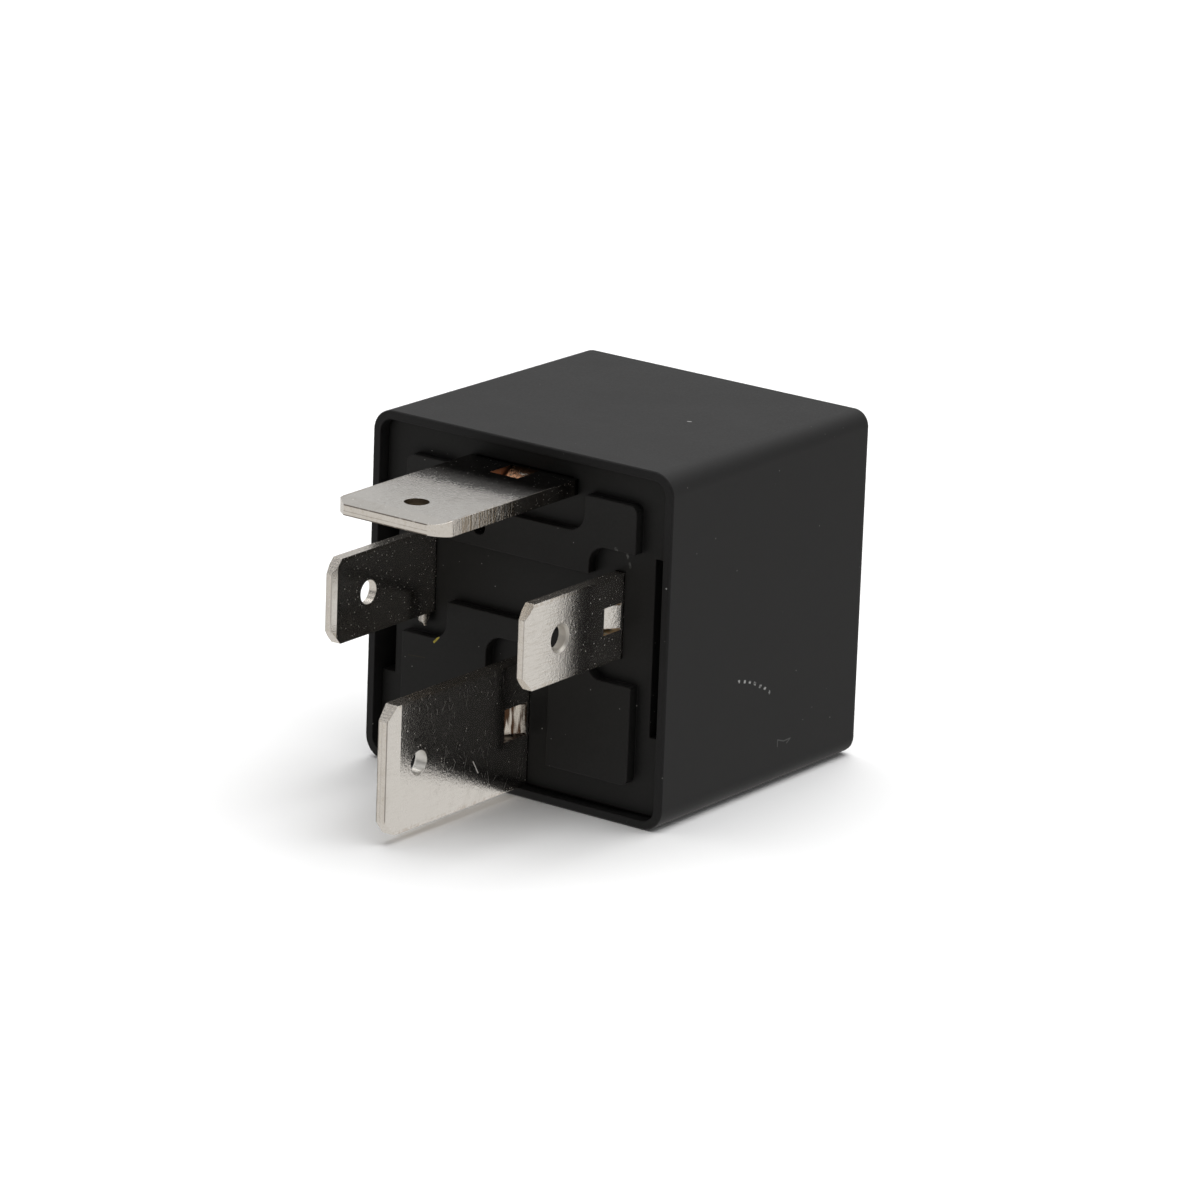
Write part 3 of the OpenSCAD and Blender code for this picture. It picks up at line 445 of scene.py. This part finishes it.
def metal(name, base, roughness, seed, wear=0.35, grain_axis=1, speckle=0.3, mottle=0.5, fineness=8.0,
          rolling=0.08, film=0.0, blade=None, scratches=0.0, extras=()):
    """Plated metal with rolling lines, clouds and dull specks. A blade adds scratches and sheared sides.

    mottle and fineness are the height and scale of the fine bumps, and film is the share of dull film.
    """
    mat = bpy.data.materials.new(name)
    t = Tree(mat)
    place, x, y, z = t.place()
    stretch = [ROLLED_ACROSS] * 3
    stretch[grain_axis] = ROLLED_ALONG
    rolled = t.noise(t.stretched(place, stretch, seed), 1.0, 4.0, 0.6)
    cloud = t.noise(place, METAL_CLOUD, 4.0, 0.6)
    fine = t.noise(place, fineness, 3.0, 0.7)
    dust = 0.0
    for per_mm, radius, step in METAL_SPECKS:
        dust = t.top(dust, specks(t, place, per_mm, radius, speckle, seed + step))
    patch = t.ramp(cloud, 0.5, 0.75)
    height = t.plus(t.mul(rolled, 0.5), t.plus(t.mul(cloud, 0.6), t.mul(fine, mottle)))
    dull = dust
    if blade:
        side = blade.cut_faces(t, 0.5, 0.8)
        flat = t.minus(1.0, side)
        v, middle = blade.along_width(x, z)
        off_middle = t.absolute(t.plus(v, -middle))
        dull = t.top(dust, hairlines(t, place, y, v, flat, scratches, seed))
    rough = t.plus(t.swing(rolled, ROUGH_ROLLED), roughness)
    rough = t.plus(rough, t.plus(t.mul(dull, ROUGH_DULL), t.mul(patch, wear * ROUGH_TARNISH)))
    colour = t.mix(t.mul(patch, TARNISH_SHARE), base, darker(base, TARNISHED))
    colour = t.mix(t.ramp(rolled, 0.5, 0.6, 0.0, rolling), colour, darker(base, ROLLED))
    if blade:
        colour, rough, height = sheared(t, place, y, blade, off_middle, side, flat, base,
                                        colour, rough, height)
    for extra in extras:
        colour, rough = extra(t, place, x, y, z, colour, rough)
    shine = t.minus(1.0 - film, t.mul(dust, SPECK_DULLS))
    finish_material(t, {"Base Color": colour, "Metallic": shine, "Roughness": rough},
                    METAL_EDGE, METAL_BUMP, METAL_DEPTH, height)
    return mat


# Each function down to one_scratch returns a step that changes a metal's colour and roughness in one
# place. metal() runs those steps last.
# Pale bands in the lanced windows: half plating, and painted glint
HALF_PLATED_AND_GLINT = rgb(0.72, 0.66, 0.58)
BURR_COLOUR = rgb(0.10, 0.075, 0.055)
# Painted dark reflection towards a blade's root, and painted shadow where the sheet meets its slot
ROOT_REFLECTION_COLOUR = rgb(0.09, 0.082, 0.075)
SLOT_SHADOW_COLOUR = grey(0.004)
BRIGHT_SCRATCH = rgb(0.9, 0.87, 0.83)
# Squares of the distances from a hole's axis between which its wall ends, in square mm
HOLE_ENDS = (1.4, 1.6)


def lanced_window(blade, middle, half_size, bare, sill=False, plating_and_glint=(0.5, 0.6)):
    """Bare metal inside a lanced window, banded with half plating and painted glint. With sill it lies only
    on the wall that looks up.
    """
    def extra(t, place, x, y, z, colour, rough):
        inside = t.ramp(t.facing()[2], 0.4, 0.6) if sill else blade.cut_faces(t, 0.9, 0.96)
        for value, m, half in zip((x, y, z), middle, half_size):
            inside = t.mul(inside, window(t, value, m - half, m + half, 0.02))
        # Pale bands on the bare metal: half plating, and painted glint
        bands = t.noise(t.stretched(place, (1.2, 2.8, 0.35)), 1.0, 2.0)
        mixed = t.mix(t.ramp(bands, *plating_and_glint), bare, HALF_PLATED_AND_GLINT)
        return t.mix(inside, colour, mixed), t.plus(rough, t.mul(inside, 0.16))
    return extra


def punched_hole(blade, inside, dulled):
    """Metal of another colour, and duller, on the wall and chamfer of the hole through a blade."""
    def extra(t, place, x, y, z, colour, rough):
        squares = [t.mul(t.plus(value, -blade.hole[k]), t.plus(value, -blade.hole[k]))
                   for k, value in enumerate((x, y, z)) if k != blade.sheet]
        near = t.ramp(t.plus(*squares), *HOLE_ENDS, 1.0, 0.0)
        wall = t.mul(near, blade.cut_faces(t, 0.85, 0.95))
        return t.mix(wall, colour, inside), t.plus(rough, t.mul(wall, dulled))
    return extra


def tip_lines(blade, share):
    """The dark burr lines along both edges of the flat at a blade's tip, and a fainter one between them."""
    def extra(t, place, x, y, z, colour, rough):
        v, middle = blade.through_sheet(x, z)
        across = t.plus(v, -middle)
        front = t.ramp(y, -blade.reach + 0.03, -blade.reach + 0.06, 1.0, 0.0)
        broken = t.ramp(t.noise(place, 1.2, 3.0), 0.28, 0.45)
        edge = window(t, t.absolute(across), blade.flat - 0.075, blade.flat + 0.02, 0.02)
        seam = t.mul(window(t, across, -0.1, -0.04, 0.03), 0.35)
        line = t.mul(t.mul(t.top(edge, seam), front), broken)
        return t.mix(t.mul(line, share), colour, BURR_COLOUR), t.plus(rough, t.mul(line, 0.2))
    return extra


def painted_dark_root(blade, start, end, share):
    """Painted dark reflection of the base plate towards a blade's root, grainy where it ends on the upper
    face.

    The sides get plain painted shade there. Just behind the rim they are near black, a painted shadow in
    which the sheet meets its slot.
    """
    def extra(t, place, x, y, z, colour, rough):
        grain = t.plus(t.noise(place, 9.0, 2.0, 0.6), t.mul(t.noise(place, 0.7, 2.0), 0.2))
        ragged = t.ramp(t.plus(y, t.mul(t.plus(grain, -0.6), 6.0)), start, end)
        # Painted dark reflection on the upper face, and painted shade on the sides
        above = t.mul(ragged, t.ramp(t.facing()[blade.sheet], 0.8, 0.95, 0.0, share))
        beside = t.mul(t.ramp(y, start - 2.0, end), blade.cut_faces(t, 0.3, 0.5, 0.55))
        painted_dark = t.top(above, beside)
        # Painted shadow, near black, on the sides just behind the rim
        slot_shadow = t.mul(t.ramp(y, 0.4, 0.5), blade.cut_faces(t, 0.3, 0.5, 0.95))
        colour = t.mix(slot_shadow, t.mix(painted_dark, colour, ROOT_REFLECTION_COLOUR), SLOT_SHADOW_COLOUR)
        return colour, t.plus(rough, t.mul(painted_dark, 0.06))
    return extra


def one_scratch(a, b, width):
    """A single bright scratch on the face of an upright blade."""
    def extra(t, place, x, y, z, colour, rough):
        line = stroke(t, y, z, a, b, width)
        return t.mix(line, colour, BRIGHT_SCRATCH), t.plus(rough, t.mul(line, 0.55))
    return extra


# ---------------------------------------------------------------- the outer pieces

CASE_BLACK = (0.0146, 0.0142, 0.0141)
PLATE_BLACK = (0.0152, 0.0147, 0.0140)
TIN = rgb(0.80, 0.765, 0.715)
BRASS = rgb(0.62, 0.42, 0.20)
BROWN = rgb(0.085, 0.045, 0.025)
COPPER = rgb(0.60, 0.31, 0.17)
# Walls of the holes through terminals 30, 87 and 85
BRIGHT_WALL = rgb(0.72, 0.70, 0.66)
DARK_WALL = rgb(0.13, 0.10, 0.07)
DULL_WALL = rgb(0.60, 0.57, 0.52)
# Where the large blades' windows lie along Y: the middle, just outside the rim, and half the length
WINDOW_Y = -0.7
WINDOW_HALF_Y = 1.4


def paint(node, material):
    obj = NODES[node]
    obj.data.materials.clear()
    obj.data.materials.append(material)


paint("housing_cover", plastic(
    "case_plastic", CASE_BLACK, roughness=0.52, specular=0.16, seed=2.0, dust=0.3,
    marks=scuffs_on_case))
paint("base_plate", plastic(
    "plate_plastic", PLATE_BLACK, roughness=0.45, specular=0.15, seed=5.0, dust=1.0,
    # painted shade in the plate's creases
    edge=0.15, crease_shade=0.7, marks=marks_on_plate))
paint("terminal_30", metal(
    "tin_30", TIN, roughness=0.11, seed=3.0, blade=BLADE_30, scratches=0.6, film=0.02, mottle=2.0,
    fineness=5.0,
    extras=(lanced_window(BLADE_30, middle=(BLADE_30.x - 0.9, WINDOW_Y, BLADE_30.z + 0.3),
                          half_size=(2.2, WINDOW_HALF_Y, 1.24), bare=BROWN, plating_and_glint=(0.44, 0.56)),
            tip_lines(BLADE_30, share=0.5),
            punched_hole(BLADE_30, BRIGHT_WALL, dulled=0.1),
            one_scratch((-5.58, 4.02), (-4.95, 3.01), width=0.05))))
paint("terminal_87", metal(
    "tin_87", TIN, roughness=0.035, seed=4.0, blade=BLADE_87, scratches=0.3, film=0.004, mottle=4.5,
    fineness=4.5, wear=0.2,
    # the few pale bands in the copper window are a painted glint
    extras=(lanced_window(BLADE_87, middle=(BLADE_87.x + 0.3, WINDOW_Y, BLADE_87.z - 0.9),
                          half_size=(1.24, WINDOW_HALF_Y, 2.2), bare=COPPER, plating_and_glint=(0.62, 0.66)),
            # painted dark reflection and painted shade towards the root
            painted_dark_root(BLADE_87, start=-6.5, end=-5.7, share=0.85),
            tip_lines(BLADE_87, share=0.85),
            punched_hole(BLADE_87, DARK_WALL, dulled=0.35))))
paint("terminal_85", metal(
    "tin_85", TIN, roughness=0.09, seed=6.0, blade=BLADE_85, scratches=0.4, film=0.028, mottle=3.2,
    fineness=5.0, speckle=0.5, rolling=0.26,
    extras=(lanced_window(BLADE_85, middle=(BLADE_85.x, -0.4, BLADE_85.z), half_size=(0.5, 1.02, 1.02),
                          bare=BRASS, sill=True),
            punched_hole(BLADE_85, DULL_WALL, dulled=0.4),
            tip_lines(BLADE_85, share=0.2))))
paint("terminal_86", metal(
    "tin_86", TIN, roughness=0.11, seed=8.0, blade=BLADE_86, scratches=0.2, film=0.026, mottle=1.0,
    speckle=0.8,
    extras=(tip_lines(BLADE_86, share=0.15),)))


# ---------------------------------------------------------------- the inner pieces

NYLON = (0.62, 0.58, 0.47)
YELLOW_TAPE = (0.50, 0.36, 0.05)
CERAMIC = (0.42, 0.28, 0.15)
IRON = rgb(0.52, 0.52, 0.51)
STEEL = rgb(0.50, 0.50, 0.51)
SILVER = rgb(0.84, 0.83, 0.80)
ENAMELLED_COPPER = rgb(0.62, 0.24, 0.08)
BARE_COPPER = rgb(0.66, 0.30, 0.15)
BRONZE = rgb(0.66, 0.42, 0.19)

paint("coil_bobbin", plastic("nylon", NYLON, roughness=0.45, specular=0.5, seed=9.0))
paint("winding_tape", plastic("polyester_tape", YELLOW_TAPE, roughness=0.25, specular=0.6, seed=14.0))
paint("suppression_resistor", plastic("lacquered_ceramic", CERAMIC, roughness=0.3, specular=0.5, seed=34.0))
for n, node in enumerate(("coil_winding", "coil_start_wire", "coil_end_wire")):
    paint(node, metal("enamelled_copper_" + node, ENAMELLED_COPPER, roughness=0.22, seed=11.0 + n,
                      grain_axis=0))
for n, node in enumerate(("magnet_core", "yoke", "armature")):
    paint(node, metal("plated_iron_" + node, IRON, roughness=0.34, seed=16.0 + n, wear=0.5))
for n, node in enumerate(("terminal_rivets", "yoke_rivets", "armature_rivets", "stop_bracket",
                          "resistor_leads")):
    paint(node, metal("plated_steel_" + node, STEEL, roughness=0.26, seed=20.0 + n))
for n, node in enumerate(("fixed_contact", "moving_contact")):
    paint(node, metal("silver_" + node, SILVER, roughness=0.22, seed=26.0 + n))
paint("contact_spring", metal("spring_bronze", BRONZE, roughness=0.22, seed=30.0, grain_axis=2))
paint("copper_braid", metal("bare_copper", BARE_COPPER, roughness=0.36, seed=32.0, grain_axis=2))


# ---------------------------------------------------------------- pieces that bend

# Corners nearer than this, in metres, become one, so that a bent surface stays whole
WELD = 1e-7


def bending_copy(node):
    """A welded copy of a leaf or braid with flat faces, in place of the original, which is hidden."""
    source = NODES[node]
    shape = bmesh.new()
    shape.from_mesh(source.data)
    bmesh.ops.remove_doubles(shape, verts=shape.verts, dist=WELD)
    mesh = bpy.data.meshes.new(node + "_bending")
    shape.to_mesh(mesh)
    shape.free()
    for face in mesh.polygons:
        face.use_smooth = False
    obj = bpy.data.objects.new(node + "_bending", mesh)
    bpy.context.scene.collection.objects.link(obj)
    mesh.materials.append(source.data.materials[0])
    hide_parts(node)
    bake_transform(obj)


# The leaf bends at the hinge, and the braid between terminal 30 and its end on the leaf.
bending_copy("contact_spring")
bending_copy("copper_braid")


# ---------------------------------------------------------------- studio

# Half the floor's side, in metres. Its colours as the camera sees them, for the light that it throws
# back, and in mirrors.
FLOOR_HALF = 3.0
FLOOR_SEEN = (grey(0.98), grey(1.0))
FLOOR_BOUNCE = grey(0.9)
FLOOR_IN_MIRRORS = rgb(1.0, 0.99, 0.975)
FLOOR_IN_MIRRORS_STRENGTH = 0.72
# Strength of the room's light from the far side of the case and from the terminals' side, and its
# strength to the camera
ROOM_BACK = 0.55
ROOM_FRONT = 0.14
ROOM_SEEN = 1.0


def studio_floor():
    """Pale floor. Mirrors see it evenly lit, and it throws less light back up than it shows."""
    mat = bpy.data.materials.new("pale_floor")
    t = Tree(mat)
    place = t.place()[0]
    path = t.add("ShaderNodeLightPath")
    colour = t.mix(t.noise(place, 0.02), *FLOOR_SEEN)
    colour = t.mix(path.outputs["Is Diffuse Ray"], colour, FLOOR_BOUNCE)
    shader = t.add("ShaderNodeBsdfPrincipled", {"Base Color": colour, "Roughness": 0.9,
                                                "Specular IOR Level": 0.0})
    even = t.add("ShaderNodeEmission", {"Color": FLOOR_IN_MIRRORS, "Strength": FLOOR_IN_MIRRORS_STRENGTH})
    both = t.add("ShaderNodeMixShader", {0: path.outputs["Is Glossy Ray"], 1: shader.outputs[0],
                                         2: even.outputs[0]})
    t.add("ShaderNodeOutputMaterial", {0: both.outputs[0]})
    shape = bmesh.new()
    bmesh.ops.create_grid(shape, x_segments=8, y_segments=8, size=FLOOR_HALF)
    mesh = bpy.data.meshes.new("floor")
    shape.to_mesh(mesh)
    shape.free()
    mesh.materials.append(mat)
    floor = bpy.data.objects.new("floor", mesh)
    bpy.context.scene.collection.objects.link(floor)
    floor.location.z = CASE_LO.z


def softbox(name, place, aim, width, height, power):
    light = bpy.data.lights.new(name, "AREA")
    light.shape = "RECTANGLE"
    light.size = width
    light.size_y = height
    light.energy = power
    obj = bpy.data.objects.new(name, light)
    obj.location = place
    obj.rotation_mode = "QUATERNION"
    obj.rotation_quaternion = (Vector(aim) - Vector(place)).to_track_quat("-Z", "Y")
    bpy.context.scene.collection.objects.link(obj)


def studio_world():
    """White where the camera sees it. It lights the part more from behind than from in front."""
    world = bpy.data.worlds.new("studio")
    bpy.context.scene.world = world
    t = Tree(world)
    way = t.add("ShaderNodeTexCoord").outputs["Generated"]
    parts = t.add("ShaderNodeSeparateXYZ", {0: way})
    level = t.ramp(parts.outputs[1], -0.5, 0.6, ROOM_FRONT, ROOM_BACK)
    room = t.add("ShaderNodeBackground", {"Color": grey(1), "Strength": level})
    seen = t.add("ShaderNodeBackground", {"Color": grey(1), "Strength": ROOM_SEEN})
    path = t.add("ShaderNodeLightPath").outputs["Is Camera Ray"]
    both = t.add("ShaderNodeMixShader", {0: path, 1: room.outputs[0], 2: seen.outputs[0]})
    t.add("ShaderNodeOutputWorld", {0: both.outputs[0]})


def studio_camera(azimuth, elevation, roll, distance, target, lens):
    """Camera aimed at target, azimuth from the terminals' side and angles in degrees."""
    a, e, r = (math.radians(v) for v in (azimuth, elevation, roll))
    back = Vector((math.sin(a) * math.cos(e), -math.cos(a) * math.cos(e), math.sin(e)))
    right = Vector((0, 0, 1)).cross(back).normalized()
    up = back.cross(right)
    side = math.cos(r) * right + math.sin(r) * up
    over = -math.sin(r) * right + math.cos(r) * up
    camera = bpy.data.cameras.new("camera")
    camera.lens = lens
    camera.sensor_width = 36.0
    camera.clip_start = 0.01
    camera.clip_end = 20.0
    obj = bpy.data.objects.new("camera", camera)
    turn = Matrix((side, over, back)).transposed().to_4x4()
    obj.matrix_world = Matrix.Translation(target + back * distance) @ turn
    bpy.context.scene.collection.objects.link(obj)
    bpy.context.scene.camera = obj


studio_floor()
studio_world()
softbox("overhead", place=(0.05, 0.25, 1.1), aim=(0, 0, 0), width=1.6, height=1.4, power=17.6)
softbox("left_fill", place=(-0.9, -0.5, 0.5), aim=(0, 0, 0.01), width=0.8, height=0.8, power=1.5)
studio_camera(azimuth=35.844, elevation=16.821, roll=2.102, distance=508.4 * MM,
              target=Vector((-2.069, RIM_Y + 13.0, 11.267)) * MM, lens=209.2)
bpy.context.scene.view_settings.view_transform = "Standard"
